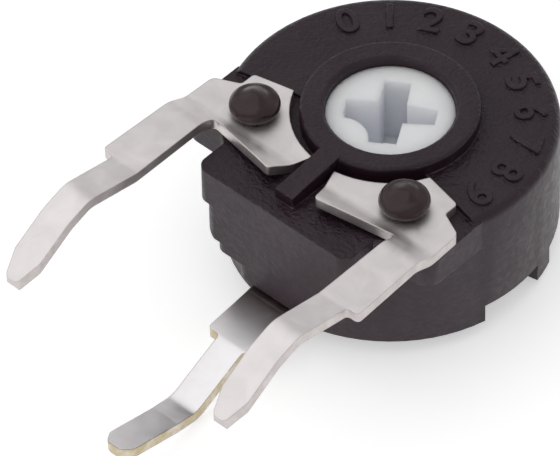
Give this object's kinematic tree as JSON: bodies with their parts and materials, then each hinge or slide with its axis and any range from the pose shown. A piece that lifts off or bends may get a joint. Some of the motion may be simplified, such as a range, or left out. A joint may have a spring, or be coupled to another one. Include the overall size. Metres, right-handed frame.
{
  "type": "trimmer potentiometer",
  "caption": "Single-turn trimmer potentiometer: a round black housing with a white cross-slot rotor and bent sheet-metal pins for a circuit board.",
  "frame": {"origin": "centre of the flat back, on the rotor's axis", "axes": "+Z along the rotor's axis out of the face, -Y the way the pins leave, +X to the right when the face is seen with the pins pointing down"},
  "size_m": [0.0104, 0.0176, 0.0066],
  "materials": {
    "housing_plastic": "moulded, fine satin grain",
    "rotor_plastic": "moulded, smooth satin",
    "tinned_metal": "tin-plated brass sheet, satin, with bare cut edges",
    "spring_metal": "spring bronze, satin",
    "track_board": "phenolic paper board with a printed carbon track"
  },
  "bodies": {
    "base": {"housing": "housing_plastic", "rear_cover": "housing_plastic", "resistive_element": "track_board", "collector_terminal": "tinned_metal", "terminal_left": "tinned_metal", "terminal_right": "tinned_metal"},
    "rotor": {"rotor": "rotor_plastic", "wiper": "spring_metal"}
  },
  "joints": [
    {"name": "rotor_turn", "type": "hinge", "parent": "base", "child": "rotor", "pos_m": [0, 0, 0], "axis": [0, 0, 1], "range_deg": [-104.5, 130.5]}
  ]
}
